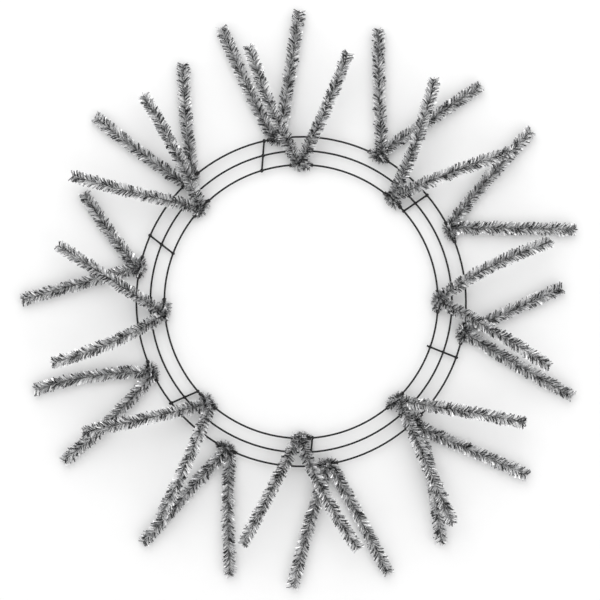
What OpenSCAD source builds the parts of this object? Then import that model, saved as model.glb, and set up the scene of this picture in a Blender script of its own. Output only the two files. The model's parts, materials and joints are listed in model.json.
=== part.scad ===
// Work wreath frame: three concentric wire rings welded to six short crossbars, with two
// circles of tinsel twist ties wound onto the inner and the outer ring. Millimetres.
// The frame lies flat: rings parallel to XY, +Z up, ring centre over the origin, floor at z = 0.

/* [Wire frame] */

// Diameter of the frame wire
wire_d = 2.2; // [1:0.1:4]
// Radius of the inner ring, to the middle of its wire
inner_ring_r = 157.3; // [80:0.1:300]
// Radius of the middle ring, to the middle of its wire
middle_ring_r = 173.4; // [90:0.1:320]
// Radius of the outer ring, to the middle of its wire
outer_ring_r = 189.5; // [100:0.1:340]
// How deep the crossbars sink into the rings at a weld
weld_depth = 0.2; // [0.05:0.05:0.6]

/* [Crossbars] */

// Crossbar 1: direction of its inner end, of its outer end, and how far each end overhangs its ring
bar_1 = [106.7, 103.0, 0.8, 1.6]; // [-180:0.1:360]
// Crossbar 2
bar_2 = [159.4, 156.4, 0.6, 2.3]; // [-180:0.1:360]
// Crossbar 3
bar_3 = [221.0, 218.0, 0.6, 2.9]; // [-180:0.1:360]
// Crossbar 4
bar_4 = [274.7, 273.1, 0.6, 0.8]; // [-180:0.1:360]
// Crossbar 5
bar_5 = [340.6, 340.2, 4.0, 2.2]; // [-180:0.1:360]
// Crossbar 6
bar_6 = [41.4, 40.2, 1.8, 2.0]; // [-180:0.1:360]

/* [Tinsel] */

// Diameter of a tie's twisted wire core
core_d = 1.2; // [0.6:0.1:3]
// Diameter of the tinsel pile on a tie's legs
pile_d = 13.0; // [6:0.5:30]
// Diameter of the tinsel bunch where a tie is wound on its ring
bunch_d = 14.4; // [8:0.2:30]
// Length of that bunch along the ring
bunch_l = 17.0; // [8:0.5:30]
// Outside diameter of the core where it is wound round the ring wire
wrap_d = 4.5; // [3:0.1:8]
// Length of the winding along the ring
wrap_l = 27.0; // [10:0.5:40]
// Length of the winding of inner tie 5, which sits close beside a crossbar
short_wrap_l = 22.4; // [10:0.2:40]
// Gap all round between the ring wire and the winding
wrap_gap = 0.08; // [0.02:0.01:0.1]

/* [How the ties lie] */

// Angle that an inner tie's legs turn through as they arch over the outer rings
inner_arch = 46; // [10:1:80]
// Height of the tips of the inner ties over the rings
inner_tip_lift = 30; // [10:1:80]
// Angle that an outer tie's legs turn through along their length
outer_arch = 4; // [0:1:40]
// Height of the tips of the outer ties over the rings
outer_tip_lift = 0; // [0:1:40]

/* [Inner ties] */

// Each leg is [angle off the way outwards, reach in plan, sideways bend, where it leaves the knot],
// in degrees and millimetres, with plus to the left for somebody who looks outwards.

// Direction of inner tie 1 from the centre of the rings
inner_1_at = 90; // [-180:0.1:360]
// Left leg of inner tie 1
inner_1_left = [24, 146.5, 12, 3]; // [-60:0.5:200]
// Right leg of inner tie 1
inner_1_right = [-23, 137, -7, 1]; // [-60:0.5:200]
// Direction of inner tie 2 from the centre of the rings
inner_2_at = 48; // [-180:0.1:360]
// Left leg of inner tie 2
inner_2_left = [23, 145, -13, 3]; // [-60:0.5:200]
// Right leg of inner tie 2
inner_2_right = [-26, 145.5, 7, 1.5]; // [-60:0.5:200]
// Direction of inner tie 3 from the centre of the rings
inner_3_at = 0; // [-180:0.1:360]
// Left leg of inner tie 3
inner_3_left = [28, 145, 20, 3.5]; // [-60:0.5:200]
// Right leg of inner tie 3
inner_3_right = [-30.5, 146, 7, 0]; // [-60:0.5:200]
// Direction of inner tie 4 from the centre of the rings
inner_4_at = -46.5; // [-180:0.1:360]
// Left leg of inner tie 4
inner_4_left = [37, 149, 5, 2]; // [-60:0.5:200]
// Right leg of inner tie 4
inner_4_right = [-18.5, 153, 0, 4]; // [-60:0.5:200]
// Direction of inner tie 5 from the centre of the rings
inner_5_at = -90; // [-180:0.1:360]
// Left leg of inner tie 5
inner_5_left = [27.5, 141, -15, 0]; // [-60:0.5:200]
// Right leg of inner tie 5
inner_5_right = [-29, 137, 0, -4.5]; // [-60:0.5:200]
// Direction of inner tie 6 from the centre of the rings
inner_6_at = -133; // [-180:0.1:360]
// Left leg of inner tie 6
inner_6_left = [21, 141, 5, 6]; // [-60:0.5:200]
// Right leg of inner tie 6
inner_6_right = [-33.5, 145.5, 2, 1.5]; // [-60:0.5:200]
// Direction of inner tie 7 from the centre of the rings
inner_7_at = 183.5; // [-180:0.1:360]
// Left leg of inner tie 7
inner_7_left = [22, 140.5, 18, 5.5]; // [-60:0.5:200]
// Right leg of inner tie 7
inner_7_right = [-35, 141, 0, 3]; // [-60:0.5:200]
// Direction of inner tie 8 from the centre of the rings
inner_8_at = 137; // [-180:0.1:360]
// Left leg of inner tie 8
inner_8_left = [29, 150, 5, 0.5]; // [-60:0.5:200]
// Right leg of inner tie 8
inner_8_right = [-20, 143.5, -11, -1]; // [-60:0.5:200]

/* [Outer ties] */

// Direction of outer tie 1 from the centre of the rings
outer_1_at = 98; // [-180:0.1:360]
// Left leg of outer tie 1
outer_1_left = [19, 142, 7, 6]; // [-60:0.5:200]
// Right leg of outer tie 1
outer_1_right = [-17.5, 147.5, 0, -2.5]; // [-60:0.5:200]
// Direction of outer tie 2 from the centre of the rings
outer_2_at = 62; // [-180:0.1:360]
// Left leg of outer tie 2
outer_2_left = [28, 145, 4, -3.5]; // [-60:0.5:200]
// Right leg of outer tie 2
outer_2_right = [-27.5, 142, 0, 1]; // [-60:0.5:200]
// Direction of outer tie 3 from the centre of the rings
outer_3_at = 25; // [-180:0.1:360]
// Left leg of outer tie 3
outer_3_left = [26.5, 148, 5, 6.5]; // [-60:0.5:200]
// Right leg of outer tie 3
outer_3_right = [-24, 143, 1, 4.5]; // [-60:0.5:200]
// Direction of outer tie 4 from the centre of the rings
outer_4_at = -11; // [-180:0.1:360]
// Left leg of outer tie 4
outer_4_left = [35.5, 124.5, 0, 2.5]; // [-60:0.5:200]
// Right leg of outer tie 4
outer_4_right = [-19, 144.5, -4, 0.5]; // [-60:0.5:200]
// Direction of outer tie 5 from the centre of the rings
outer_5_at = -46.8; // [-180:0.1:360]
// Left leg of outer tie 5
outer_5_left = [21.5, 144, 0, -3]; // [-60:0.5:200]
// Right leg of outer tie 5
outer_5_right = [-30.5, 142.5, 12, 3]; // [-60:0.5:200]
// Direction of outer tie 6 from the centre of the rings
outer_6_at = -81; // [-180:0.1:360]
// Left leg of outer tie 6
outer_6_left = [20.5, 143, 1.5, 5]; // [-60:0.5:200]
// Right leg of outer tie 6
outer_6_right = [-24.5, 146, -4.5, 0]; // [-60:0.5:200]
// Direction of outer tie 7 from the centre of the rings
outer_7_at = -117; // [-180:0.1:360]
// Left leg of outer tie 7
outer_7_left = [29, 145.5, -9, 6]; // [-60:0.5:200]
// Right leg of outer tie 7
outer_7_right = [-14.5, 144, 0, 0]; // [-60:0.5:200]
// Direction of outer tie 8 from the centre of the rings
outer_8_at = -155; // [-180:0.1:360]
// Left leg of outer tie 8
outer_8_left = [20.5, 144.5, 11, 4.5]; // [-60:0.5:200]
// Right leg of outer tie 8
outer_8_right = [-16, 136, -17, -0.5]; // [-60:0.5:200]
// Direction of outer tie 9 from the centre of the rings
outer_9_at = 168; // [-180:0.1:360]
// Left leg of outer tie 9
outer_9_left = [27.5, 140.5, 0, 0.5]; // [-60:0.5:200]
// Right leg of outer tie 9
outer_9_right = [-41, 106, 10, 1.5]; // [-60:0.5:200]
// Direction of outer tie 10 from the centre of the rings
outer_10_at = 132.4; // [-180:0.1:360]
// Left leg of outer tie 10
outer_10_left = [14, 130.5, 6, 7.5]; // [-60:0.5:200]
// Right leg of outer tie 10
outer_10_right = [-39, 132.5, 8, -6.5]; // [-60:0.5:200]

/* [Hidden] */

// Angular fineness of previews
$fn = 48;
// Radius of the frame wire
wire_r = wire_d / 2;
// Height of the rings: the tinsel bunches stand on the floor
ring_z = bunch_d / 2;
// Height of the crossbars, which lie under the rings
bar_z = ring_z - wire_d + weld_depth;
// How far out from the ring a leg starts
leg_start = 2;
// How far the core stops short of the end of the tinsel
core_short = 2;
// How far the tinsel bites into the core, because the twist grips it
grip = 0.05;
// Half of the straight middle of a winding's bore
bore_straight = 4;
// Widening of the bore at the winding's ends, where the ring curves away
bore_flare = 0.68;
// Chamfer at the ends of a tinsel bunch
bunch_chamfer = 2.6;
// Colour of the frame wire
wire_colour = [0.12, 0.12, 0.13];
// Colour of the wire inside the ties
core_colour = [0.09, 0.09, 0.09];
// Colour of the tinsel
tinsel_colour = [0.62, 0.63, 0.66];
// Every separate piece
// The piece to draw, or all of them

// A ring of frame wire
module ring(radius)
    translate([0, 0, ring_z])
        rotate_extrude()
            translate([radius, 0])
                circle(wire_r);

// A straight crossbar from the inner ring to the outer ring
module crossbar(bar) {
    x1 = inner_ring_r * cos(bar[0]);
    y1 = inner_ring_r * sin(bar[0]);
    dx = outer_ring_r * cos(bar[1]) - x1;
    dy = outer_ring_r * sin(bar[1]) - y1;
    span = sqrt(dx * dx + dy * dy);
    translate([x1, y1, bar_z])
        rotate([0, 0, atan2(dy, dx)])
            translate([-bar[2], 0, 0])
                rotate([0, 90, 0])
                    cylinder(r = wire_r, h = span + bar[2] + bar[3]);
}

// Puts its children at a knot: X outwards, Y along the ring wire, Z up
module at_knot(ring_r, at)
    translate([ring_r * cos(at), ring_r * sin(at), ring_z])
        rotate([0, 0, at])
            children();

// One leg as a rod of radius r on an arc, ending the length `short` before the tip
module leg(spec, arch, lift, r, short) {
    dx = spec[1] * cos(spec[0]) - leg_start;
    dy = spec[1] * sin(spec[0]) - spec[3];
    plan = sqrt(dx * dx + dy * dy);
    chord = sqrt(plan * plan + lift * lift);
    turn = sqrt(arch * arch + spec[2] * spec[2]);
    bend_r = chord / (2 * sin(turn / 2));
    translate([leg_start, spec[3], 0])
        rotate([0, 0, atan2(dy, dx)])
            rotate([0, -atan2(lift, plan), 0])
                rotate([-atan2(spec[2], arch), 0, 0])
                    translate([chord / 2, 0, -bend_r * cos(turn / 2)])
                        rotate([90, 0, 0])
                            rotate([0, 0, 90 - turn / 2 + short / bend_r * 180 / PI])
                                rotate_extrude(angle = turn - short / bend_r * 180 / PI)
                                    translate([bend_r, 0])
                                        circle(r);
}

// The winding round the ring wire, a sleeve whose bore widens where the ring curves away
module winding(length) {
    bore = wire_r + wrap_gap;
    half = length / 2;
    flare = bore_flare * (half - bore_straight) / (wrap_l / 2 - bore_straight);
    rotate([-90, 0, 0])
        rotate_extrude()
            polygon([
                [bore, -bore_straight],
                [bore + flare, -half],
                [wrap_d / 2, -half],
                [wrap_d / 2, half],
                [bore + flare, half],
                [bore, bore_straight]
            ]);
}

// The tinsel bunch on the knot, a barrel round the ring wire
module bunch() {
    half = bunch_l / 2;
    rotate([-90, 0, 0])
        rotate_extrude()
            polygon([
                [0, -half],
                [bunch_d / 2 - bunch_chamfer, -half],
                [bunch_d / 2, -half + bunch_chamfer],
                [bunch_d / 2, half - bunch_chamfer],
                [bunch_d / 2 - bunch_chamfer, half],
                [0, half]
            ]);
}

// The twisted wire of one tie: two legs and the winding that holds it to the ring
module tie_core(ring_r, at, left, right, arch, lift, length = wrap_l)
    at_knot(ring_r, at) {
        winding(length);
        leg(left, arch, lift, core_d / 2, core_short);
        leg(right, arch, lift, core_d / 2, core_short);
    }

// The tinsel of one tie: a sleeve on each leg and a bunch on the knot, all bored for the core
module tie_tinsel(ring_r, at, left, right, arch, lift)
    at_knot(ring_r, at)
        difference() {
            union() {
                bunch();
                leg(left, arch, lift, pile_d / 2, 0);
                leg(right, arch, lift, pile_d / 2, 0);
            }
            rotate([90, 0, 0])
                cylinder(r = wrap_d / 2 - grip, h = 1.5 * wrap_l, center = true);
            leg(left, arch, lift, core_d / 2 - grip, -1);
            leg(right, arch, lift, core_d / 2 - grip, -1);
        }

module ring_inner()
    color(wire_colour)
        ring(inner_ring_r);

module ring_middle()
    color(wire_colour)
        ring(middle_ring_r);

module ring_outer()
    color(wire_colour)
        ring(outer_ring_r);

module crossbar_1()
    color(wire_colour)
        crossbar(bar_1);

module crossbar_2()
    color(wire_colour)
        crossbar(bar_2);

module crossbar_3()
    color(wire_colour)
        crossbar(bar_3);

module crossbar_4()
    color(wire_colour)
        crossbar(bar_4);

module crossbar_5()
    color(wire_colour)
        crossbar(bar_5);

module crossbar_6()
    color(wire_colour)
        crossbar(bar_6);

module tie_inner_1_core()
    color(core_colour)
        tie_core(inner_ring_r, inner_1_at, inner_1_left, inner_1_right, inner_arch, inner_tip_lift);

module tie_inner_1_tinsel()
    color(tinsel_colour)
        tie_tinsel(inner_ring_r, inner_1_at, inner_1_left, inner_1_right, inner_arch, inner_tip_lift);

module tie_inner_2_core()
    color(core_colour)
        tie_core(inner_ring_r, inner_2_at, inner_2_left, inner_2_right, inner_arch, inner_tip_lift);

module tie_inner_2_tinsel()
    color(tinsel_colour)
        tie_tinsel(inner_ring_r, inner_2_at, inner_2_left, inner_2_right, inner_arch, inner_tip_lift);

module tie_inner_3_core()
    color(core_colour)
        tie_core(inner_ring_r, inner_3_at, inner_3_left, inner_3_right, inner_arch, inner_tip_lift);

module tie_inner_3_tinsel()
    color(tinsel_colour)
        tie_tinsel(inner_ring_r, inner_3_at, inner_3_left, inner_3_right, inner_arch, inner_tip_lift);

module tie_inner_4_core()
    color(core_colour)
        tie_core(inner_ring_r, inner_4_at, inner_4_left, inner_4_right, inner_arch, inner_tip_lift);

module tie_inner_4_tinsel()
    color(tinsel_colour)
        tie_tinsel(inner_ring_r, inner_4_at, inner_4_left, inner_4_right, inner_arch, inner_tip_lift);

module tie_inner_5_core()
    color(core_colour)
        tie_core(inner_ring_r, inner_5_at, inner_5_left, inner_5_right, inner_arch,
            inner_tip_lift, short_wrap_l);

module tie_inner_5_tinsel()
    color(tinsel_colour)
        tie_tinsel(inner_ring_r, inner_5_at, inner_5_left, inner_5_right, inner_arch, inner_tip_lift);

module tie_inner_6_core()
    color(core_colour)
        tie_core(inner_ring_r, inner_6_at, inner_6_left, inner_6_right, inner_arch, inner_tip_lift);

module tie_inner_6_tinsel()
    color(tinsel_colour)
        tie_tinsel(inner_ring_r, inner_6_at, inner_6_left, inner_6_right, inner_arch, inner_tip_lift);

module tie_inner_7_core()
    color(core_colour)
        tie_core(inner_ring_r, inner_7_at, inner_7_left, inner_7_right, inner_arch, inner_tip_lift);

module tie_inner_7_tinsel()
    color(tinsel_colour)
        tie_tinsel(inner_ring_r, inner_7_at, inner_7_left, inner_7_right, inner_arch, inner_tip_lift);

module tie_inner_8_core()
    color(core_colour)
        tie_core(inner_ring_r, inner_8_at, inner_8_left, inner_8_right, inner_arch, inner_tip_lift);

module tie_inner_8_tinsel()
    color(tinsel_colour)
        tie_tinsel(inner_ring_r, inner_8_at, inner_8_left, inner_8_right, inner_arch, inner_tip_lift);

module tie_outer_1_core()
    color(core_colour)
        tie_core(outer_ring_r, outer_1_at, outer_1_left, outer_1_right, outer_arch, outer_tip_lift);

module tie_outer_1_tinsel()
    color(tinsel_colour)
        tie_tinsel(outer_ring_r, outer_1_at, outer_1_left, outer_1_right, outer_arch, outer_tip_lift);

module tie_outer_2_core()
    color(core_colour)
        tie_core(outer_ring_r, outer_2_at, outer_2_left, outer_2_right, outer_arch, outer_tip_lift);

module tie_outer_2_tinsel()
    color(tinsel_colour)
        tie_tinsel(outer_ring_r, outer_2_at, outer_2_left, outer_2_right, outer_arch, outer_tip_lift);

module tie_outer_3_core()
    color(core_colour)
        tie_core(outer_ring_r, outer_3_at, outer_3_left, outer_3_right, outer_arch, outer_tip_lift);

module tie_outer_3_tinsel()
    color(tinsel_colour)
        tie_tinsel(outer_ring_r, outer_3_at, outer_3_left, outer_3_right, outer_arch, outer_tip_lift);

module tie_outer_4_core()
    color(core_colour)
        tie_core(outer_ring_r, outer_4_at, outer_4_left, outer_4_right, outer_arch, outer_tip_lift);

module tie_outer_4_tinsel()
    color(tinsel_colour)
        tie_tinsel(outer_ring_r, outer_4_at, outer_4_left, outer_4_right, outer_arch, outer_tip_lift);

module tie_outer_5_core()
    color(core_colour)
        tie_core(outer_ring_r, outer_5_at, outer_5_left, outer_5_right, outer_arch, outer_tip_lift);

module tie_outer_5_tinsel()
    color(tinsel_colour)
        tie_tinsel(outer_ring_r, outer_5_at, outer_5_left, outer_5_right, outer_arch, outer_tip_lift);

module tie_outer_6_core()
    color(core_colour)
        tie_core(outer_ring_r, outer_6_at, outer_6_left, outer_6_right, outer_arch, outer_tip_lift);

module tie_outer_6_tinsel()
    color(tinsel_colour)
        tie_tinsel(outer_ring_r, outer_6_at, outer_6_left, outer_6_right, outer_arch, outer_tip_lift);

module tie_outer_7_core()
    color(core_colour)
        tie_core(outer_ring_r, outer_7_at, outer_7_left, outer_7_right, outer_arch, outer_tip_lift);

module tie_outer_7_tinsel()
    color(tinsel_colour)
        tie_tinsel(outer_ring_r, outer_7_at, outer_7_left, outer_7_right, outer_arch, outer_tip_lift);

module tie_outer_8_core()
    color(core_colour)
        tie_core(outer_ring_r, outer_8_at, outer_8_left, outer_8_right, outer_arch, outer_tip_lift);

module tie_outer_8_tinsel()
    color(tinsel_colour)
        tie_tinsel(outer_ring_r, outer_8_at, outer_8_left, outer_8_right, outer_arch, outer_tip_lift);

module tie_outer_9_core()
    color(core_colour)
        tie_core(outer_ring_r, outer_9_at, outer_9_left, outer_9_right, outer_arch, outer_tip_lift);

module tie_outer_9_tinsel()
    color(tinsel_colour)
        tie_tinsel(outer_ring_r, outer_9_at, outer_9_left, outer_9_right, outer_arch, outer_tip_lift);

module tie_outer_10_core()
    color(core_colour)
        tie_core(outer_ring_r, outer_10_at, outer_10_left, outer_10_right, outer_arch, outer_tip_lift);

module tie_outer_10_tinsel()
    color(tinsel_colour)
        tie_tinsel(outer_ring_r, outer_10_at, outer_10_left, outer_10_right, outer_arch, outer_tip_lift);

ring_inner();
ring_middle();
ring_outer();
crossbar_1();
crossbar_2();
crossbar_3();
crossbar_4();
crossbar_5();
crossbar_6();
tie_inner_1_core();
tie_inner_1_tinsel();
tie_inner_2_core();
tie_inner_2_tinsel();
tie_inner_3_core();
tie_inner_3_tinsel();
tie_inner_4_core();
tie_inner_4_tinsel();
tie_inner_5_core();
tie_inner_5_tinsel();
tie_inner_6_core();
tie_inner_6_tinsel();
tie_inner_7_core();
tie_inner_7_tinsel();
tie_inner_8_core();
tie_inner_8_tinsel();
tie_outer_1_core();
tie_outer_1_tinsel();
tie_outer_2_core();
tie_outer_2_tinsel();
tie_outer_3_core();
tie_outer_3_tinsel();
tie_outer_4_core();
tie_outer_4_tinsel();
tie_outer_5_core();
tie_outer_5_tinsel();
tie_outer_6_core();
tie_outer_6_tinsel();
tie_outer_7_core();
tie_outer_7_tinsel();
tie_outer_8_core();
tie_outer_8_tinsel();
tie_outer_9_core();
tie_outer_9_tinsel();
tie_outer_10_core();
tie_outer_10_tinsel();
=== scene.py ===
"""Work wreath frame: three welded wire rings with eighteen tinsel twist ties wound onto them.

Everything is in metres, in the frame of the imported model: the frame lies flat, +Z up.
"""

import json
import math

import bpy
from bpy.props import FloatProperty, FloatVectorProperty, IntProperty, PointerProperty
from mathutils import Matrix, Vector


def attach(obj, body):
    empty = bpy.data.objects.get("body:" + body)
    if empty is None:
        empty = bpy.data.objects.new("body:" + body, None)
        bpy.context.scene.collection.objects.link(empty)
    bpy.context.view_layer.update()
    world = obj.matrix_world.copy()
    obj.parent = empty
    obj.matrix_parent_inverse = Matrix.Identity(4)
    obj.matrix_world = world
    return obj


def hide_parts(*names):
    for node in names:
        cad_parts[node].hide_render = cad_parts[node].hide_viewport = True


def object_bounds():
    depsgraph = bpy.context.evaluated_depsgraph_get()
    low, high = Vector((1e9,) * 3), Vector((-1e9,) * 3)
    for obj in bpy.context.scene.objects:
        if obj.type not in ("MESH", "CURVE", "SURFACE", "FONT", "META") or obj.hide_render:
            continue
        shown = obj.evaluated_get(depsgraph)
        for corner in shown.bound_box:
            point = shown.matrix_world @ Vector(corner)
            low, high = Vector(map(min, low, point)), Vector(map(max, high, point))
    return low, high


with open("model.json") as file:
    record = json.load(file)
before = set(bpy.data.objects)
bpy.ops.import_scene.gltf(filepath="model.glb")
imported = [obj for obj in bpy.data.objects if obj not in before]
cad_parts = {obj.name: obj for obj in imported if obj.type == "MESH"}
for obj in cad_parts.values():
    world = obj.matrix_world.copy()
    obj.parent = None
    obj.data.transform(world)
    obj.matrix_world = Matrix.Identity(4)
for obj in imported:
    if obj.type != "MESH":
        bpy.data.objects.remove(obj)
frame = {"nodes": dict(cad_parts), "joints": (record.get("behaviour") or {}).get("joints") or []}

CAD_BOX = [list(corner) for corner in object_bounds()]

bl_info = {
    "name": "Work wreath frame",
    "version": (1, 0, 0),
    "blender": (4, 5, 0),
    "location": "3D Viewport > Sidebar > Wreath",
    "description": "Builds the wire rings, welds, twist ties, tinsel and studio of a wreath frame",
    "category": "Object",
}

MM = 0.001

# ---------------------------------------------------------------- the object's layout

# Radii of the three rings, to the middle of the wire
INNER_RING, MIDDLE_RING, OUTER_RING = 157.3 * MM, 173.4 * MM, 189.5 * MM
RING_Z, BAR_Z = 7.2 * MM, 5.2 * MM
WIRE_R = 1.1 * MM

# Crossbars: direction of the inner end and of the outer end, in degrees
CROSSBARS = (
    (106.7, 103.0),
    (159.4, 156.4),
    (221.0, 218.0),
    (274.7, 273.1),
    (340.6, 340.2),
    (41.4, 40.2),
)

# The legs of each tie, left and right: direction from straight outwards in degrees, reach,
# sideways bow in degrees, and where the leg leaves the knot along the ring (millimetres)
INNER_LEGS = {
    "tie_inner_1": ((24, 146.5, 12, 3), (-23, 137, -7, 1)),
    "tie_inner_2": ((23, 145, -13, 3), (-26, 145.5, 7, 1.5)),
    "tie_inner_3": ((28, 145, 20, 3.5), (-30.5, 146, 7, 0)),
    "tie_inner_4": ((37, 149, 5, 2), (-18.5, 153, 0, 4)),
    "tie_inner_5": ((27.5, 141, -15, 0), (-29, 137, 0, -4.5)),
    "tie_inner_6": ((21, 141, 5, 6), (-33.5, 145.5, 2, 1.5)),
    "tie_inner_7": ((22, 140.5, 18, 5.5), (-35, 141, 0, 3)),
    "tie_inner_8": ((29, 150, 5, 0.5), (-20, 143.5, -11, -1)),
}
OUTER_LEGS = {
    "tie_outer_1": ((19, 142, 7, 6), (-17.5, 147.5, 0, -2.5)),
    "tie_outer_2": ((28, 145, 4, -3.5), (-27.5, 142, 0, 1)),
    "tie_outer_3": ((26.5, 148, 5, 6.5), (-24, 143, 1, 4.5)),
    "tie_outer_4": ((35.5, 124.5, 0, 2.5), (-19, 144.5, -4, 0.5)),
    "tie_outer_5": ((21.5, 144, 0, -3), (-30.5, 142.5, 12, 3)),
    "tie_outer_6": ((20.5, 143, 1.5, 5), (-24.5, 146, -4.5, 0)),
    "tie_outer_7": ((29, 145.5, -9, 6), (-14.5, 144, 0, 0)),
    "tie_outer_8": ((20.5, 144.5, 11, 4.5), (-16, 136, -17, -0.5)),
    "tie_outer_9": ((27.5, 140.5, 0, 0.5), (-41, 106, 10, 1.5)),
    "tie_outer_10": ((14, 130.5, 6, 7.5), (-39, 132.5, 8, -6.5)),
}
LEGS = {**INNER_LEGS, **OUTER_LEGS}

# How far a leg's arc turns in degrees, and the height of its tip over the ring (millimetres)
INNER_ARCH, INNER_TIP = 46, 30
OUTER_ARCH, OUTER_TIP = 4, 0
LEG_START = 2 * MM

# Half the length of the wire winding on the ring, which is shorter where a crossbar is close
WINDING_HALF = 13.3 * MM
SHORT_WINDING_HALF = 11.0 * MM
SHORT_WOUND = "tie_inner_5"
WINDING_GAP = 0.1 * MM

# Steps of the winding's middle line, points of its wire on each turn, and where it starts
WINDING_STEPS = 24
WINDING_POINTS_PER_TURN = 14
WINDING_PHASE = 0.6

# Half of the angle that a tie lifts through
HALF_LIFT = math.radians(25)

# Length of one turn of the twisted pair inside a leg, and points of its wires on each turn
LEG_TWIST = 5.2 * MM
LEG_POINTS_PER_TURN = 6
LEG_POINTS = 36

# The last points of a leg, where the strands stand straighter and are shorter, and by how much
TIP_POINTS = 3
TIP_LEAN = 0.3
TIP_TRIM = 0.16

# The tinsel on the knot: its coil round the ring wire, and the strands on it. Painted shade darkens
# them, as shade falls in the dense knot.
BUNCH_TURNS = 6
BUNCH_POINTS_PER_TURN = 14
BUNCH_HALF = 6.4 * MM
BUNCH_RADIUS = 1.9 * MM
BUNCH_LEAN = math.radians(80)
BUNCH_REACH = 7.2 * MM
BUNCH_PAINTED_SHADE = 0.13

# A strand is a three-sided blade. These radii give it sides of one strand width at its root
# and a little less at its tip.
BLADE_ROOT, BLADE_TIP = 0.577, 0.56
# Ranges that single strands are scattered over: width and length as shares, spin in radians
STRAND_WIDTHS = (0.7, 1.3)
STRAND_LENGTHS = (0.84, 1.05)
STRAND_SPINS = (0.9, 2.24)
PAINTED_REFLECTION_SCATTER = 0.24
# Steps of this share of a turn never fall into a pattern
GOLDEN = 0.618034

# A weld's length, width and height as shares of the weld size
WELD_LENGTHS = (0.86, 1.16)
WELD_WIDTHS = (0.8, 1.05)
WELD_HEIGHT = 0.66

# The studio: half the floor's side and its depth under the object, the middle of the view,
# and each lamp's place, size and share of the main lamp's power
FLOOR_HALF, FLOOR_DROP = 6.0, 0.2 * MM
VIEW_MIDDLE = (-1.3 * MM, 1.8 * MM)
SENSOR_WIDTH = 36.0
LAMPS = {
    "main_lamp": ((-0.25, 1.25, 1.8), 2.2, 1.0),
    "fill_lamp": ((1.2, -0.9, 1.5), 1.2, 0.2),
}


# ---------------------------------------------------------------- settings


class WREATH_PG_wire(bpy.types.PropertyGroup):
    """Sizes and colour of the welded wire frame and of the tie wire"""

    paint: FloatVectorProperty(
        name="Frame paint",
        description="Colour of the paint on the rings and crossbars",
        subtype="COLOR",
        size=4,
        default=(0.009, 0.009, 0.010, 1.0),
    )
    nugget: FloatProperty(
        name="Weld size",
        description="Half the width of a weld where a ring crosses a crossbar",
        unit="LENGTH",
        default=2.2 * MM,
    )
    tie_wire_d: FloatProperty(
        name="Tie wire",
        description="Thickness of each of the two wires twisted into a tie",
        unit="LENGTH",
        default=0.6 * MM,
    )
    winding_d: FloatProperty(
        name="Winding wire",
        description="Thickness of the twisted pair where it is wound round a ring",
        unit="LENGTH",
        default=1.15 * MM,
    )
    winding_pitch: FloatProperty(
        name="Winding pitch",
        description="Distance between two turns of the winding",
        unit="LENGTH",
        default=1.35 * MM,
    )


class WREATH_PG_tinsel(bpy.types.PropertyGroup):
    """Sizes and colours of the tinsel film, among them the painted dark reflection and painted glint
    colours of its strands
    """

    strand_length: FloatProperty(
        name="Strand length",
        description="Length of a film strand from the wire to its tip",
        unit="LENGTH",
        default=9.2 * MM,
    )
    strand_width: FloatProperty(
        name="Strand width",
        description="Width of a film strand",
        unit="LENGTH",
        default=1.25 * MM,
    )
    strand_thickness: FloatProperty(
        name="Strand thickness",
        description="Depth of the fold along a film strand",
        unit="LENGTH",
        default=0.2 * MM,
    )
    spacing: FloatProperty(
        name="Strand spacing",
        description="Distance along the wire from one strand to the next",
        unit="LENGTH",
        default=0.16 * MM,
    )
    lean: FloatProperty(
        name="Lean",
        description="Angle between a strand and the wire, towards the tip",
        subtype="ANGLE",
        default=math.radians(57),
    )
    twist: FloatProperty(
        name="Twist",
        description="Length of one turn of the twisted wire that holds the strands",
        unit="LENGTH",
        default=8.6 * MM,
    )
    # Painted reflection: strands given this colour stand in for film that reflects a dark side of the
    # room
    dark: FloatVectorProperty(
        name="Film with painted dark reflection",
        description="Colour of the strands that reflect a dark side of the room",
        subtype="COLOR",
        size=4,
        default=(0.075, 0.076, 0.078, 1.0),
    )
    middle: FloatVectorProperty(
        name="Film",
        description="Colour of most strands",
        subtype="COLOR",
        size=4,
        default=(0.66, 0.664, 0.672, 1.0),
    )
    # Painted glint: strands given this colour stand in for film that reflects a lamp
    bright: FloatVectorProperty(
        name="Film with painted glint",
        description="Colour of the strands that reflect a lamp",
        subtype="COLOR",
        size=4,
        default=(1.0, 1.0, 1.0, 1.0),
    )
    seed: IntProperty(
        name="Seed", description="Number that fixes how the strands are scattered", default=7
    )


class WREATH_PG_studio(bpy.types.PropertyGroup):
    """Floor, lamps and camera"""

    camera_height: FloatProperty(
        name="Camera height",
        description="Height of the camera above the rings",
        unit="LENGTH",
        default=5.0,
    )
    field: FloatProperty(
        name="Field",
        description="Width of what the camera sees at the height of the rings",
        unit="LENGTH",
        default=0.690,
    )
    key_power: FloatProperty(
        name="Main lamp",
        description="Power of the large soft lamp",
        unit="POWER",
        default=14.0,
    )
    room: FloatProperty(
        name="Room light", description="Strength of the white room all round", default=0.90
    )


# ---------------------------------------------------------------- node helpers


def feed(tree, socket, value):
    """Links an output to a socket, or sets the socket's own value."""
    if isinstance(value, bpy.types.NodeSocket):
        tree.links.new(value, socket)
    elif value is not None:
        socket.default_value = value


def add(tree, kind, inputs=None, **settings):
    """Adds a node, sets its properties and feeds its inputs, which are named or numbered."""
    node = tree.nodes.new(kind)
    for key, value in settings.items():
        setattr(node, key, value)
    for key, value in (inputs or {}).items():
        feed(tree, node.inputs[key], value)
    return node


def maths(tree, operation, *values):
    """One Math node; returns its output."""
    node = add(tree, "ShaderNodeMath", dict(enumerate(values)), operation=operation)
    return node.outputs[0]


def vector_maths(tree, operation, a, b=None, scale=None):
    """One Vector Math node; returns its vector output."""
    node = add(tree, "ShaderNodeVectorMath", {0: a, 1: b}, operation=operation)
    if scale is not None:
        feed(tree, node.inputs["Scale"], scale)
    return node.outputs[0]


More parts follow.
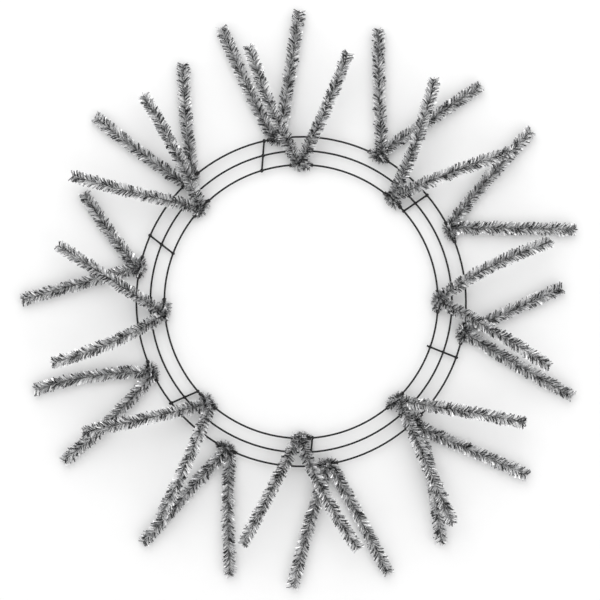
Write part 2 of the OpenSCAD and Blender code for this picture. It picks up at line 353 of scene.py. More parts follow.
def random_value(tree, low, high, salt, seed):
    """A random number for each point, from low to high."""
    node = add(tree, "FunctionNodeRandomValue", {2: low, 3: high}, data_type="FLOAT")
    feed(tree, node.inputs["Seed"], maths(tree, "ADD", seed, salt))
    return node.outputs[1]


def scattered(tree, salt, seed):
    """A random number for each point, from -2 to 2 and mostly near 0."""
    first = random_value(tree, -1.0, 1.0, salt, seed)
    second = random_value(tree, -1.0, 1.0, salt + 1, seed)
    return maths(tree, "ADD", first, second)


def named(tree, name):
    """Reads a number that the path carries."""
    return add(tree, "GeometryNodeInputNamedAttribute", {"Name": name}, data_type="FLOAT").outputs[0]


def turned(tree, rotation, axis, angle):
    """Turns a rotation round one of its own axes."""
    turn = add(tree, "FunctionNodeAxisAngleToRotation", {"Axis": axis, "Angle": angle})
    node = add(
        tree,
        "FunctionNodeRotateRotation",
        {"Rotation": rotation, "Rotate By": turn.outputs[0]},
        rotation_space="LOCAL",
    )
    return node.outputs[0]


def geometry_tree(name, sockets):
    """A Geometry Nodes tree with named inputs; returns it with its input and output nodes."""
    tree = bpy.data.node_groups.new(name, "GeometryNodeTree")
    tree.is_modifier = True
    face = tree.interface
    face.new_socket("Geometry", in_out="INPUT", socket_type="NodeSocketGeometry")
    for label, kind in sockets:
        face.new_socket(label, in_out="INPUT", socket_type="NodeSocket" + kind)
    face.new_socket("Geometry", in_out="OUTPUT", socket_type="NodeSocketGeometry")
    return tree, add(tree, "NodeGroupInput").outputs, add(tree, "NodeGroupOutput").inputs[0]


def close_tree(tree, geometry, material, result):
    """Ends a tree: gives the finished geometry its material and puts it out."""
    painted = add(
        tree, "GeometryNodeSetMaterial", {"Geometry": geometry, "Material": material}
    )
    feed(tree, result, painted.outputs[0])
    return tree


def grow(name, path, tree, values):
    """Runs a tree on a path mesh and returns the result as a plain mesh object."""
    maker = bpy.data.objects.new(name + "_path", path)
    bpy.context.scene.collection.objects.link(maker)
    modifier = maker.modifiers.new("Nodes", "NODES")
    modifier.node_group = tree
    for item in tree.interface.items_tree:
        if item.in_out == "INPUT" and item.name in values:
            modifier[item.identifier] = values[item.name]
    graph = bpy.context.evaluated_depsgraph_get()
    mesh = bpy.data.meshes.new_from_object(
        maker.evaluated_get(graph), preserve_all_data_layers=True, depsgraph=graph
    )
    maker.modifiers.remove(modifier)
    bpy.data.objects.remove(maker)
    if not mesh.polygons:
        raise RuntimeError(f"{name} came out empty")
    mesh.name = name
    piece = bpy.data.objects.new(name, mesh)
    bpy.context.scene.collection.objects.link(piece)
    return piece


# ---------------------------------------------------------------- paths


def knot_matrix(tie):
    """Where a tie is knotted: X outwards, Y along the ring, Z up, from its hinge."""
    hinge = next(j for j in frame["joints"] if j["child"] == tie)
    along = -Vector(hinge["axis"]).normalized()
    outwards = along.cross(Vector((0, 0, 1)))
    turn = Matrix((outwards, along, Vector((0, 0, 1)))).transposed().to_4x4()
    return Matrix.Translation(Vector(hinge["pos_m"])) @ turn


def leg_points(leg, arch, lift):
    """Middle line of a leg from the knot to its tip, an arc, in the knot's frame."""
    fan, reach, bow, root = leg
    start = Vector((LEG_START, root * MM, 0))
    fan = math.radians(fan)
    tip = Vector((reach * math.cos(fan), reach * math.sin(fan), lift)) * MM
    chord = tip - start
    length = chord.length
    half = math.radians(math.hypot(arch, bow)) / 2
    roll = math.atan2(bow, arch)
    radius = length / (2 * math.sin(half))
    flat = math.hypot(chord.x, chord.y)
    turn = (
        Matrix.Rotation(math.atan2(chord.y, chord.x), 3, "Z")
        @ Matrix.Rotation(-math.atan2(chord.z, flat), 3, "Y")
        @ Matrix.Rotation(-roll, 3, "X")
    )
    points = []
    for step in range(LEG_POINTS):
        angle = half - 2 * half * step / (LEG_POINTS - 1)
        rise = radius * (math.cos(angle) - math.cos(half))
        local = Vector((length / 2 - radius * math.sin(angle), 0, rise))
        points.append(start + turn @ local)
    return points


def ring_point(ring_r, along):
    """A point of the ring wire, a distance from the knot, in the knot's frame."""
    angle = along / ring_r
    return Vector((ring_r * (math.cos(angle) - 1), ring_r * math.sin(angle), 0))


def path_mesh(name, lines, matrix):
    """A mesh of open lines. Each line is a list of points with a dict of numbers for each."""
    points, edges, numbers = [], [], []
    for line in lines:
        first = len(points)
        points += [matrix @ point for point, _ in line]
        numbers += [values for _, values in line]
        edges += [(first + i, first + i + 1) for i in range(len(line) - 1)]
    mesh = bpy.data.meshes.new(name)
    mesh.from_pydata(points, edges, [])
    for key in numbers[0]:
        layer = mesh.attributes.new(key, "FLOAT", "POINT")
        layer.data.foreach_set("value", [values[key] for values in numbers])
    return mesh


def tie_legs(tie):
    """The middle lines of a tie's two legs."""
    inner = tie in INNER_LEGS
    arch, lift = (INNER_ARCH, INNER_TIP) if inner else (OUTER_ARCH, OUTER_TIP)
    return [leg_points(leg, arch, lift) for leg in LEGS[tie]]


def ring_of(tie):
    """Radius of the ring that a tie is wound on."""
    return INNER_RING if tie in INNER_LEGS else OUTER_RING


# ---------------------------------------------------------------- shader groups


def shader_group(name, inputs, outputs):
    """An empty shader node group with named sockets."""
    group = bpy.data.node_groups.new(name, "ShaderNodeTree")
    for label, kind, value in inputs:
        item = group.interface.new_socket(label, in_out="INPUT", socket_type="NodeSocket" + kind)
        if value is not None:
            item.default_value = value
    for label, kind in outputs:
        group.interface.new_socket(label, in_out="OUTPUT", socket_type="NodeSocket" + kind)
    return group, add(group, "NodeGroupInput").outputs, add(group, "NodeGroupOutput").inputs


def noise(tree, vector, scale, detail=2.0, rough=0.5):
    """A Noise Texture's grey value."""
    node = add(
        tree,
        "ShaderNodeTexNoise",
        {"Vector": vector, "Scale": scale, "Detail": detail, "Roughness": rough},
    )
    return node.outputs[0]


def spread(tree, value, low, high, to_low=0.0, to_high=1.0):
    """Maps a range of a value onto another, held at both ends."""
    node = add(
        tree,
        "ShaderNodeMapRange",
        {"Value": value, "From Min": low, "From Max": high, "To Min": to_low, "To Max": to_high},
    )
    return node.outputs[0]


def blend_colour(tree, factor, a, b):
    """Colour a where the factor is 0, b where it is 1. The node's colour sockets are 6, 7 and 2."""
    node = add(tree, "ShaderNodeMix", {0: factor, 6: a, 7: b}, data_type="RGBA")
    return node.outputs[2]


def worn_metal_group():
    """Colour, roughness and height of a thin wire's paint or skin, with scuffs and dust."""
    name = "Worn wire surface"
    if name in bpy.data.node_groups:
        return bpy.data.node_groups[name]
    group, given, result = shader_group(
        name,
        [
            ("Colour", "Color", (0.02, 0.02, 0.02, 1)),
            ("Scuff Colour", "Color", (0.1, 0.1, 0.1, 1)),
            ("Scuffs", "Float", 0.5),
            ("Roughness", "Float", 0.4),
            ("Grain Scale", "Float", 900.0),
        ],
        [("Colour", "Color"), ("Roughness", "Float"), ("Height", "Float")],
    )
    where = add(group, "ShaderNodeTexCoord").outputs["Object"]
    patches = noise(group, where, 55.0, 3.0, 0.6)
    grain = noise(group, where, given["Grain Scale"], 3.0, 0.6)
    drawn = noise(group, where, maths(group, "MULTIPLY", given["Grain Scale"], 0.35), 1.0)
    scuff = maths(group, "MULTIPLY", spread(group, grain, 0.55, 0.74), given["Scuffs"])
    shade = spread(group, patches, 0.3, 0.7, 0.75, 1.35)
    tinted = vector_maths(group, "SCALE", given["Colour"], scale=shade)
    feed(group, result["Colour"], blend_colour(group, scuff, tinted, given["Scuff Colour"]))
    rough = maths(group, "ADD", given["Roughness"], spread(group, patches, 0.3, 0.7, -0.08, 0.1))
    feed(group, result["Roughness"], maths(group, "ADD", rough, maths(group, "MULTIPLY", scuff, 0.18)))
    feed(group, result["Height"], maths(group, "ADD", grain, maths(group, "MULTIPLY", drawn, 0.6)))
    return group


def tinsel_group():
    """Colour, roughness and height of cut metallised film. Each strand's colour is painted light: its
    tone gives it a painted dark reflection, the film's colour or a painted glint, with painted shade
    towards its root.
    """
    name = "Cut metal film"
    if name in bpy.data.node_groups:
        return bpy.data.node_groups[name]
    group, given, result = shader_group(
        name,
        [
            ("Dark", "Color", (0.02, 0.02, 0.02, 1)),
            ("Middle", "Color", (0.3, 0.3, 0.3, 1)),
            ("Bright", "Color", (0.9, 0.9, 0.9, 1)),
            ("Crease Scale", "Float", 700.0),
        ],
        [("Colour", "Color"), ("Roughness", "Float"), ("Height", "Float")],
    )
    tone = add(group, "ShaderNodeAttribute", attribute_name="tone").outputs["Fac"]
    along = add(group, "ShaderNodeAttribute", attribute_name="along").outputs["Fac"]
    where = add(group, "ShaderNodeTexCoord").outputs["Object"]
    crinkle = noise(group, where, given["Crease Scale"], 2.0, 0.55)
    # Painted reflection: the tone and the fine creases choose a painted dark reflection, the film's
    # colour or a painted glint for each strand
    glint = maths(group, "ADD", tone, spread(group, crinkle, 0.3, 0.7, -0.13, 0.13))
    lower = blend_colour(group, spread(group, glint, 0.24, 0.40), given["Dark"], given["Middle"])
    upper = blend_colour(group, spread(group, glint, 0.62, 0.74), lower, given["Bright"])
    # Painted shade: each strand is darker towards its root, deep in the pile
    painted_root_shade = spread(group, along, 0.0, 0.5, 0.8, 1.0)
    feed(group, result["Colour"], vector_maths(group, "SCALE", upper, scale=painted_root_shade))
    feed(group, result["Roughness"], spread(group, crinkle, 0.3, 0.7, 0.26, 0.46))
    feed(group, result["Height"], crinkle)
    return group


def surface(name, group, values, bump_strength, bump_distance, **sockets):
    """A material whose colour, roughness and bump come from a shader group. The group's values
    are given by label, and other Principled sockets by label with _ for each space."""
    if name in bpy.data.materials:
        return bpy.data.materials[name]
    material = bpy.data.materials.new(name)
    material.use_nodes = True
    tree = material.node_tree
    principled = next(n for n in tree.nodes if n.type == "BSDF_PRINCIPLED")
    look = add(tree, "ShaderNodeGroup", node_tree=group)
    for label, value in values.items():
        look.inputs[label].default_value = value
    bump = add(
        tree,
        "ShaderNodeBump",
        {"Height": look.outputs["Height"], "Strength": bump_strength, "Distance": bump_distance},
    )
    feed(tree, principled.inputs["Base Color"], look.outputs["Colour"])
    feed(tree, principled.inputs["Roughness"], look.outputs["Roughness"])
    feed(tree, principled.inputs["Normal"], bump.outputs[0])
    for label, value in sockets.items():
        principled.inputs[label.replace("_", " ")].default_value = value
    return material


def painted_wire():
    """Paint of the rings and crossbars."""
    wire = bpy.context.scene.wreath_wire
    return surface(
        "Satin black paint",
        worn_metal_group(),
        {
            "Colour": wire.paint,
            "Scuff Colour": (0.05, 0.05, 0.052, 1.0),
            "Scuffs": 0.45,
            "Roughness": 0.42,
            "Grain Scale": 900.0,
        },
        bump_strength=0.25,
        bump_distance=0.08 * MM,
        Specular_IOR_Level=0.3,
    )


def weld_metal():
    """Paint over the rough, darker welds."""
    return surface(
        "Painted weld",
        worn_metal_group(),
        {
            "Colour": (0.004, 0.004, 0.004, 1.0),
            "Scuff Colour": (0.03, 0.029, 0.028, 1.0),
            "Scuffs": 0.3,
            "Roughness": 0.6,
            "Grain Scale": 1500.0,
        },
        bump_strength=0.5,
        bump_distance=0.15 * MM,
        Specular_IOR_Level=0.12,
    )


def tie_wire_metal():
    """Bare dark wire of the ties."""
    return surface(
        "Dark drawn wire",
        worn_metal_group(),
        {
            "Colour": (0.035, 0.034, 0.034, 1.0),
            "Scuff Colour": (0.22, 0.21, 0.2, 1.0),
            "Scuffs": 0.35,
            "Roughness": 0.38,
            "Grain Scale": 2200.0,
        },
        bump_strength=0.3,
        bump_distance=0.04 * MM,
        Metallic=0.6,
    )


def tinsel_film():
    """Metallised film of the strands."""
    film = bpy.context.scene.wreath_tinsel
    return surface(
        "Silver tinsel film",
        tinsel_group(),
        {
            "Dark": film.dark,
            "Middle": film.middle,
            "Bright": film.bright,
            "Crease Scale": 900.0,
        },
        bump_strength=0.35,
        bump_distance=0.06 * MM,
        Metallic=0.85,
    )


# ---------------------------------------------------------------- geometry trees


def weld_tree():
    """Flattened, lumpy nuggets at the points of the path, each turned along its crossbar."""
    tree, given, result = geometry_tree(
        "Weld nuggets",
        [("Half Width", "Float"), ("Unevenness", "Float"), ("Seed", "Int"), ("Material", "Material")],
    )
    ball = add(tree, "GeometryNodeMeshIcoSphere", {"Radius": 1.0, "Subdivisions": 3})
    long = random_value(tree, *WELD_LENGTHS, 1, given["Seed"])
    wide = random_value(tree, *WELD_WIDTHS, 2, given["Seed"])
    size = add(
        tree,
        "ShaderNodeCombineXYZ",
        {
            0: maths(tree, "MULTIPLY", given["Half Width"], long),
            1: maths(tree, "MULTIPLY", given["Half Width"], wide),
            2: maths(tree, "MULTIPLY", given["Half Width"], WELD_HEIGHT),
        },
    ).outputs[0]
    level = add(tree, "ShaderNodeCombineXYZ", {2: named(tree, "turn")}).outputs[0]
    turn = add(tree, "FunctionNodeEulerToRotation", {0: level}).outputs[0]
    points = add(tree, "GeometryNodeMeshToPoints", {"Mesh": given["Geometry"]})
    placed = add(
        tree,
        "GeometryNodeInstanceOnPoints",
        {"Points": points.outputs[0], "Instance": ball.outputs[0], "Rotation": turn, "Scale": size},
    )
    solid = add(tree, "GeometryNodeRealizeInstances", {0: placed.outputs[0]})
    at = add(tree, "GeometryNodeInputPosition").outputs[0]
    lumps = add(tree, "ShaderNodeTexNoise", {"Vector": at, "Scale": 700.0, "Detail": 1.0})
    push = maths(tree, "MULTIPLY", maths(tree, "SUBTRACT", lumps.outputs[0], 0.5), given["Unevenness"])
    out = add(tree, "GeometryNodeInputNormal").outputs[0]
    moved = add(
        tree,
        "GeometryNodeSetPosition",
        {"Geometry": solid.outputs[0], "Offset": vector_maths(tree, "SCALE", out, scale=push)},
    )
    smooth = add(tree, "GeometryNodeSetShadeSmooth", {"Geometry": moved.outputs[0]})
    return close_tree(tree, smooth.outputs[0], given["Material"], result)


def wound_strand(tree, curve, radius, pitch, phase, step, thickness):
    """A round wire wound about a curve; returns its mesh."""
    even = add(tree, "GeometryNodeResampleCurve", {"Curve": curve, "Length": step}, mode="LENGTH")
    length = add(tree, "GeometryNodeSplineParameter").outputs["Length"]
    angle = maths(
        tree,
        "ADD",
        maths(tree, "MULTIPLY", maths(tree, "DIVIDE", length, pitch), 2 * math.pi),
        phase,
    )
    along = add(tree, "GeometryNodeInputTangent").outputs[0]
    up = add(tree, "GeometryNodeInputNormal").outputs[0]
    side = vector_maths(tree, "CROSS_PRODUCT", along, up)
    over = maths(tree, "MULTIPLY", maths(tree, "COSINE", angle), radius)
    beside = maths(tree, "MULTIPLY", maths(tree, "SINE", angle), radius)
    offset = vector_maths(
        tree,
        "ADD",
        vector_maths(tree, "SCALE", up, scale=over),
        vector_maths(tree, "SCALE", side, scale=beside),
    )
    wound = add(tree, "GeometryNodeSetPosition", {"Geometry": even.outputs[0], "Offset": offset})
    section = add(
        tree,
        "GeometryNodeCurvePrimitiveCircle",
        {"Resolution": 6, "Radius": maths(tree, "MULTIPLY", thickness, 0.5)},
    )
    solid = add(
        tree,
        "GeometryNodeCurveToMesh",
        {"Curve": wound.outputs[0], "Profile Curve": section.outputs[0], "Fill Caps": True},
    )
    return solid.outputs[0]


def tie_wire_tree():
    """The twisted pair in the legs, and the winding round the ring wire."""
    tree, given, result = geometry_tree(
        "Twisted tie wire",
        [
            ("Wire", "Float"),
            ("Twist", "Float"),
            ("Winding Wire", "Float"),
            ("Winding Radius", "Float"),
            ("Winding Pitch", "Float"),
            ("Material", "Material"),
        ],
    )
    parted = add(
        tree,
        "GeometryNodeSeparateGeometry",
        {
            "Geometry": given["Geometry"],
            "Selection": add(
                tree,
                "FunctionNodeCompare",
                {0: named(tree, "winding"), 1: 0.5},
                data_type="FLOAT",
                operation="GREATER_THAN",
            ).outputs[0],
        },
        domain="POINT",
    )
    ring, legs = (
        add(tree, "GeometryNodeMeshToCurve", {"Mesh": out}).outputs[0] for out in parted.outputs[:2]
    )
    half = maths(tree, "MULTIPLY", given["Wire"], 0.5)
    step = maths(tree, "DIVIDE", given["Twist"], float(LEG_POINTS_PER_TURN))
    strands = [
        wound_strand(tree, legs, half, given["Twist"], phase, step, given["Wire"])
        for phase in (0.0, math.pi)
    ]
    pitch = given["Winding Pitch"]
    step = maths(tree, "DIVIDE", pitch, float(WINDING_POINTS_PER_TURN))
    radius = maths(tree, "ADD", given["Winding Radius"], named(tree, "flare"))
    strands.append(
        wound_strand(tree, ring, radius, pitch, WINDING_PHASE, step, given["Winding Wire"])
    )
    joined = add(tree, "GeometryNodeJoinGeometry")
    for strand in strands:
        tree.links.new(strand, joined.inputs[0])
    smooth = add(tree, "GeometryNodeSetShadeSmooth", {"Geometry": joined.outputs[0]})
    solid = add(tree, "GeometryNodeRealizeInstances", {0: smooth.outputs[0]})
    return close_tree(tree, solid.outputs[0], given["Material"], result)


def tinsel_tree():
    """Cut film strands held in a twisted wire, which leave it in two rows that wind round it."""
    tree, given, result = geometry_tree(
        "Tinsel pile",
        [
            ("Spacing", "Float"),
            ("Strand Width", "Float"),
            ("Strand Thickness", "Float"),
            ("Curl", "Float"),
            ("Twist", "Float"),
            ("Row Spread", "Float"),
            ("Lean Spread", "Float"),
            ("Shared", "Float"),
            ("Ease", "Float"),
            ("Seed", "Int"),
            ("Material", "Material"),
        ],
    )
    seed = given["Seed"]
    # One strand, a unit long: a thin blade, three-sided as if folded along its middle
    blade = add(
        tree,
        "GeometryNodeMeshCone",
        {
            "Vertices": 3,
            "Side Segments": 2,
            "Radius Top": BLADE_TIP,
            "Radius Bottom": BLADE_ROOT,
            "Depth": 1.0,
        },
    )
    place = add(tree, "GeometryNodeInputPosition").outputs[0]
    height = add(tree, "ShaderNodeSeparateXYZ", {0: place}).outputs[2]
    marked = add(
        tree,
        "GeometryNodeStoreNamedAttribute",
        {"Geometry": blade.outputs[0], "Name": "along", "Value": height},
        data_type="FLOAT",
        domain="POINT",
    )
    scale = add(
        tree, "ShaderNodeCombineXYZ", {0: given["Strand Thickness"], 1: given["Strand Width"], 2: 1.0}
    ).outputs[0]
    thin = add(tree, "GeometryNodeTransform", {"Geometry": marked.outputs[0], "Scale": scale})
    # The blade curls back along its length
    place = add(tree, "GeometryNodeInputPosition").outputs[0]
    height = add(tree, "ShaderNodeSeparateXYZ", {0: place}).outputs[2]
    bent = maths(tree, "MULTIPLY", maths(tree, "MULTIPLY", height, height), given["Curl"])
    curled = add(
        tree,
        "GeometryNodeSetPosition",
        {
            "Geometry": thin.outputs[0],
            "Offset": add(tree, "ShaderNodeCombineXYZ", {0: bent}).outputs[0],
        },
    )
    # Points along the wire
    line = add(tree, "GeometryNodeMeshToCurve", {"Mesh": given["Geometry"]})
    points = add(
        tree,
        "GeometryNodeCurveToPoints",
        {"Curve": line.outputs[0], "Length": given["Spacing"]},
        mode="LENGTH",
    )
    number = add(tree, "GeometryNodeInputIndex").outputs[0]
    turns = maths(tree, "DIVIDE", maths(tree, "MULTIPLY", number, given["Spacing"]), given["Twist"])
    row = maths(tree, "MULTIPLY", maths(tree, "MODULO", number, 2.0), 0.5)
    angle = maths(tree, "MULTIPLY", maths(tree, "ADD", turns, row), 2 * math.pi)
    wander = maths(tree, "MULTIPLY", scattered(tree, 11, seed), given["Row Spread"])
    angle = maths(tree, "ADD", angle, wander)
    slant = maths(tree, "MULTIPLY", scattered(tree, 13, seed), given["Lean Spread"])
    lean = maths(tree, "ADD", named(tree, "lean"), slant)
    facing = turned(tree, points.outputs["Rotation"], (0.0, 0.0, 1.0), angle)
    facing = turned(tree, facing, (0.0, 1.0, 0.0), lean)
    facing = turned(tree, facing, (0.0, 0.0, 1.0), random_value(tree, *STRAND_SPINS, 15, seed))
    width = random_value(tree, *STRAND_WIDTHS, 16, seed)
    share = random_value(tree, *STRAND_LENGTHS, 17, seed)
    reach = maths(tree, "MULTIPLY", named(tree, "reach"), share)
    size = add(tree, "ShaderNodeCombineXYZ", {0: 1.0, 1: width, 2: reach}).outputs[0]
    placed = add(
        tree,
        "GeometryNodeInstanceOnPoints",
        {
            "Points": points.outputs[0],
            "Instance": curled.outputs[0],
            "Rotation": facing,
            "Scale": size,
        },
    )
    # Strands side by side in one row share a tone, so painted glints and painted dark reflections come
    # in small groups
    group = maths(tree, "FLOOR", maths(tree, "DIVIDE", number, given["Shared"]))
    shared = maths(tree, "FRACT", maths(tree, "ADD", maths(tree, "MULTIPLY", group, GOLDEN), row))
    own = random_value(tree, -PAINTED_REFLECTION_SCATTER, PAINTED_REFLECTION_SCATTER, 18, seed)
    tone = maths(tree, "ADD", shared, own)
    # Painted shade: the knot's strands get a lower tone, which makes them darker
    tone = maths(tree, "SUBTRACT", tone, named(tree, "gloom"))
    toned = add(
        tree,
        "GeometryNodeStoreNamedAttribute",
        {"Geometry": placed.outputs[0], "Name": "tone", "Value": tone},
        data_type="FLOAT",
        domain="INSTANCE",
    )
    solid = add(tree, "GeometryNodeRealizeInstances", {0: toned.outputs[0]})
    # Strands that reach the floor bend and lie along it: their height eases towards zero
    at = add(tree, "ShaderNodeSeparateXYZ", {0: add(tree, "GeometryNodeInputPosition").outputs[0]})
    over = maths(tree, "SUBTRACT", at.outputs[2], given["Ease"])
    under = maths(tree, "DIVIDE", maths(tree, "MINIMUM", over, 0.0), given["Ease"])
    bent_z = maths(
        tree,
        "ADD",
        maths(tree, "MULTIPLY", maths(tree, "EXPONENT", under), given["Ease"]),
        maths(tree, "MAXIMUM", over, 0.0),
    )
    eased = add(
        tree,
        "GeometryNodeSetPosition",
        {
            "Geometry": solid.outputs[0],
            "Position": add(
                tree, "ShaderNodeCombineXYZ", {0: at.outputs[0], 1: at.outputs[1], 2: bent_z}
            ).outputs[0],
        },
    )
    flat = add(
        tree, "GeometryNodeSetShadeSmooth", {"Geometry": eased.outputs[0], "Shade Smooth": False}
    )
    return close_tree(tree, flat.outputs[0], given["Material"], result)


# ---------------------------------------------------------------- operators


class WREATH_OT_rings(bpy.types.Operator):
    """Finish the rings and crossbars with their paint"""

    bl_idname = "wreath.rings"
    bl_label = "Rings and crossbars"

    def execute(self, context):
        paint = painted_wire()
        for name in ("ring_inner", "ring_middle", "ring_outer"):
            self.coat(name, paint)
        for number in range(1, len(CROSSBARS) + 1):
            self.coat(f"crossbar_{number}", paint)
        return {"FINISHED"}

    @staticmethod
    def coat(name, paint):
        """Puts the paint in every material slot of a CAD node."""
        node = frame["nodes"][name]
        if not node.material_slots:
            raise RuntimeError(f"{name} has no material slot")
        for slot in node.material_slots:
            slot.material = paint


def crossing(bar, ring_r):
    """Where a crossbar crosses a ring, and the crossbar's direction."""
    from_angle, to_angle = (math.radians(angle) for angle in bar)
    inner = Vector((math.cos(from_angle), math.sin(from_angle))) * INNER_RING
    outer = Vector((math.cos(to_angle), math.sin(to_angle))) * OUTER_RING
    way = (outer - inner).normalized()
    nearest = inner.dot(way)
    along = -nearest + math.sqrt(nearest**2 - inner.length_squared + ring_r**2)
    return inner + way * along, math.atan2(way.y, way.x)


class WREATH_OT_welds(bpy.types.Operator):
    """Lay a weld nugget wherever a ring crosses a crossbar"""

    bl_idname = "wreath.welds"
    bl_label = "Welds"

    def execute(self, context):
        wire = context.scene.wreath_wire
        spots = []
        for bar in CROSSBARS:
            for ring_r in (INNER_RING, MIDDLE_RING, OUTER_RING):
                at, turn = crossing(bar, ring_r)
                spots.append([(Vector((at.x, at.y, (RING_Z + BAR_Z) / 2)), {"turn": turn})])
        path = path_mesh("weld_spots", spots, Matrix.Identity(4))
        piece = grow(
            "weld_nuggets",
            path,
            weld_tree(),
            {
                "Half Width": wire.nugget,
                "Unevenness": 0.5 * MM,
                "Seed": 3,
                "Material": weld_metal(),
            },
        )
        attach(piece, "frame")
        return {"FINISHED"}


class WREATH_OT_tie_wires(bpy.types.Operator):
    """Twist the ties' wire and wind it round the rings"""

    bl_idname = "wreath.tie_wires"
    bl_label = "Tie wires"

    def execute(self, context):
        wire = context.scene.wreath_wire
        tree = tie_wire_tree()
        for tie in LEGS:
            half = SHORT_WINDING_HALF if tie == SHORT_WOUND else WINDING_HALF
            lines = []
            for leg in tie_legs(tie):
                # The wire stops just inside the last strands
                lines.append([(point, {"winding": 0.0, "flare": 0.0}) for point in leg[:-1]])
            lines.append(self.winding_line(ring_of(tie), half))
            path = path_mesh(tie + "_wire_path", lines, knot_matrix(tie))
            piece = grow(
                tie.replace("tie_", "wire_"),
                path,
                tree,
                {
                    "Wire": wire.tie_wire_d,
                    "Twist": LEG_TWIST,
                    "Winding Wire": wire.winding_d,
                    "Winding Radius": WIRE_R + 0.5 * wire.winding_d + WINDING_GAP,
                    "Winding Pitch": wire.winding_pitch,
                    "Material": tie_wire_metal(),
                },
            )
            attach(piece, tie)
            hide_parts(tie + "_core")
        return {"FINISHED"}

    @staticmethod
    def winding_line(ring_r, half):
        """The winding's middle line. It bows as the ring does, tilted by half of the lift and
        wider towards its ends, so that the curved ring wire stays inside at every lift."""
        line = []
        for i in range(WINDING_STEPS + 1):
            point = ring_point(ring_r, half * (2 * i / WINDING_STEPS - 1))
            bow = -point.x
            tilted = Vector((-bow * math.cos(HALF_LIFT), point.y, bow * math.sin(HALF_LIFT)))
            flare = 2 * bow * math.sin(HALF_LIFT / 2)
            line.append((tilted, {"winding": 1.0, "flare": flare}))
        return line


class WREATH_OT_tinsel(bpy.types.Operator):
    """Grow the tinsel on the ties' legs and on their knots"""

    bl_idname = "wreath.tinsel"
    bl_label = "Tinsel"

    def execute(self, context):
        film = context.scene.wreath_tinsel
        tree = tinsel_tree()
        for number, tie in enumerate(LEGS):
            lines = [self.leg_line(leg, film) for leg in tie_legs(tie)]
            lines.append(self.bunch_line(ring_of(tie)))
            path = path_mesh(tie + "_tinsel_path", lines, knot_matrix(tie))
            piece = grow(
                tie.replace("tie_", "tinsel_"),
                path,
                tree,
                {
                    "Spacing": film.spacing,
                    "Strand Width": film.strand_width,
                    "Strand Thickness": film.strand_thickness,
                    "Curl": 0.7 * MM,
                    "Twist": film.twist,
                    "Row Spread": math.radians(26),
                    "Lean Spread": math.radians(9),
                    "Shared": 6.0,
                    "Ease": 0.9 * MM,
                    "Seed": film.seed + 101 * number,
                    "Material": tinsel_film(),
                },
            )
            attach(piece, tie)
            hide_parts(tie + "_tinsel")
        return {"FINISHED"}

    @staticmethod
    def leg_line(leg, film):
        """A leg's line with the strands' lean and reach. They stand straighter at the cut tip."""
        last = len(leg) - 1
        line = []
        for i, point in enumerate(leg):
            tip = max(0.0, 1 - (last - i) / TIP_POINTS)
            lean = film.lean * (1 + TIP_LEAN * tip)
            reach = film.strand_length * (1 - TIP_TRIM * tip)
            line.append((point, {"lean": lean, "reach": reach, "gloom": 0.0}))
        return line

    @staticmethod
    def bunch_line(ring_r):
        """The line of the tinsel where it is wound round the ring wire."""
        steps = BUNCH_TURNS * BUNCH_POINTS_PER_TURN
        # Painted shade: the knot's strands are given a darker tone
        values = {"lean": BUNCH_LEAN, "reach": BUNCH_REACH, "gloom": BUNCH_PAINTED_SHADE}
        line = []
        for i in range(steps + 1):
            share = i / steps
            middle = ring_point(ring_r, BUNCH_HALF * (2 * share - 1))
            angle = 2 * math.pi * BUNCH_TURNS * share
            around = Vector((math.cos(angle), 0, math.sin(angle))) * BUNCH_RADIUS
            line.append((middle + around, values))
        return line


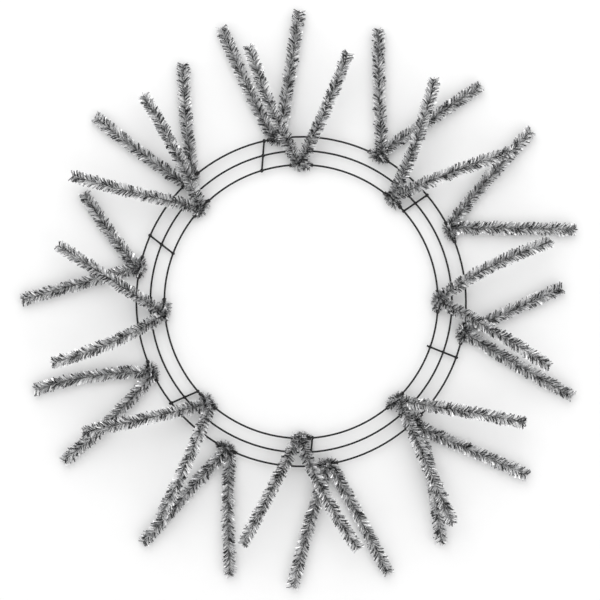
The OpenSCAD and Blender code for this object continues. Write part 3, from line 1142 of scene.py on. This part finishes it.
class WREATH_OT_studio(bpy.types.Operator):
    """Lay the floor, hang the lamps and set up the camera"""

    bl_idname = "wreath.studio"
    bl_label = "Studio"

    def execute(self, context):
        studio = context.scene.wreath_studio
        self.floor()
        self.lamps(studio)
        self.camera(studio)
        world = bpy.data.worlds.new("Studio")
        world.use_nodes = True
        backdrop = world.node_tree.nodes["Background"]
        backdrop.inputs["Color"].default_value = (1.0, 1.0, 1.0, 1.0)
        backdrop.inputs["Strength"].default_value = studio.room
        context.scene.world = world
        context.scene.view_settings.view_transform = "Standard"
        return {"FINISHED"}

    @staticmethod
    def floor():
        """A white board under the object."""
        half, low = FLOOR_HALF, CAD_BOX[0][2] - FLOOR_DROP
        corners = [(-half, -half, low), (half, -half, low), (half, half, low), (-half, half, low)]
        mesh = bpy.data.meshes.new("floor")
        mesh.from_pydata(corners, [], [(0, 1, 2, 3)])
        floor = bpy.data.objects.new("floor", mesh)
        bpy.context.scene.collection.objects.link(floor)
        material = bpy.data.materials.new("White board")
        material.use_nodes = True
        tree = material.node_tree
        principled = next(n for n in tree.nodes if n.type == "BSDF_PRINCIPLED")
        where = add(tree, "ShaderNodeTexCoord").outputs["Object"]
        fine = noise(tree, where, 40.0, 3.0)
        feed(
            tree,
            principled.inputs["Base Color"],
            blend_colour(tree, fine, (0.92, 0.92, 0.92, 1), (0.94, 0.94, 0.94, 1)),
        )
        principled.inputs["Roughness"].default_value = 0.9
        principled.inputs["Specular IOR Level"].default_value = 0.1
        mesh.materials.append(material)

    @staticmethod
    def lamps(studio):
        """Two round soft lamps, aimed at the middle of the object."""
        for name, (place, size, share) in LAMPS.items():
            light = bpy.data.lights.new(name, "AREA")
            light.shape, light.size, light.energy = "DISK", size, studio.key_power * share
            lamp = bpy.data.objects.new(name, light)
            lamp.location = place
            lamp.rotation_mode = "QUATERNION"
            lamp.rotation_quaternion = (-Vector(place)).to_track_quat("-Z", "Y")
            bpy.context.scene.collection.objects.link(lamp)

    @staticmethod
    def camera(studio):
        """A long lens that looks straight down."""
        data = bpy.data.cameras.new("camera")
        data.sensor_width = SENSOR_WIDTH
        data.lens = SENSOR_WIDTH * studio.camera_height / studio.field
        data.clip_start, data.clip_end = 0.05, 60.0
        camera = bpy.data.objects.new("camera", data)
        camera.location = (*VIEW_MIDDLE, RING_Z + studio.camera_height)
        bpy.context.scene.collection.objects.link(camera)
        bpy.context.scene.camera = camera


class WREATH_PT_panel(bpy.types.Panel):
    """Lists the steps that build the wreath frame, and its settings"""

    bl_label = "Wreath frame"
    bl_idname = "WREATH_PT_panel"
    bl_space_type = "VIEW_3D"
    bl_region_type = "UI"
    bl_category = "Wreath"

    def draw(self, context):
        for operator in OPERATORS:
            self.layout.operator(operator.bl_idname)
        for group in ("wreath_wire", "wreath_tinsel", "wreath_studio"):
            settings = getattr(context.scene, group)
            column = self.layout.column(align=True)
            for key in settings.__annotations__:
                column.prop(settings, key)


SETTINGS = {
    "wreath_wire": WREATH_PG_wire,
    "wreath_tinsel": WREATH_PG_tinsel,
    "wreath_studio": WREATH_PG_studio,
}
OPERATORS = (
    WREATH_OT_studio,
    WREATH_OT_rings,
    WREATH_OT_welds,
    WREATH_OT_tie_wires,
    WREATH_OT_tinsel,
)


def register():
    """Registers the settings, the operators and the panel."""
    for group in SETTINGS.values():
        bpy.utils.register_class(group)
    for operator in OPERATORS:
        bpy.utils.register_class(operator)
    bpy.utils.register_class(WREATH_PT_panel)
    for name, group in SETTINGS.items():
        setattr(bpy.types.Scene, name, PointerProperty(type=group))


def unregister():
    """Takes back what register did."""
    for name in SETTINGS:
        delattr(bpy.types.Scene, name)
    bpy.utils.unregister_class(WREATH_PT_panel)
    for operator in reversed(OPERATORS):
        bpy.utils.unregister_class(operator)
    for group in reversed(list(SETTINGS.values())):
        bpy.utils.unregister_class(group)


def main():
    """Builds the scene step by step."""
    register()
    bpy.ops.wreath.studio()
    bpy.ops.wreath.rings()
    bpy.ops.wreath.welds()
    bpy.ops.wreath.tie_wires()
    bpy.ops.wreath.tinsel()


if __name__ == "__main__":
    main()
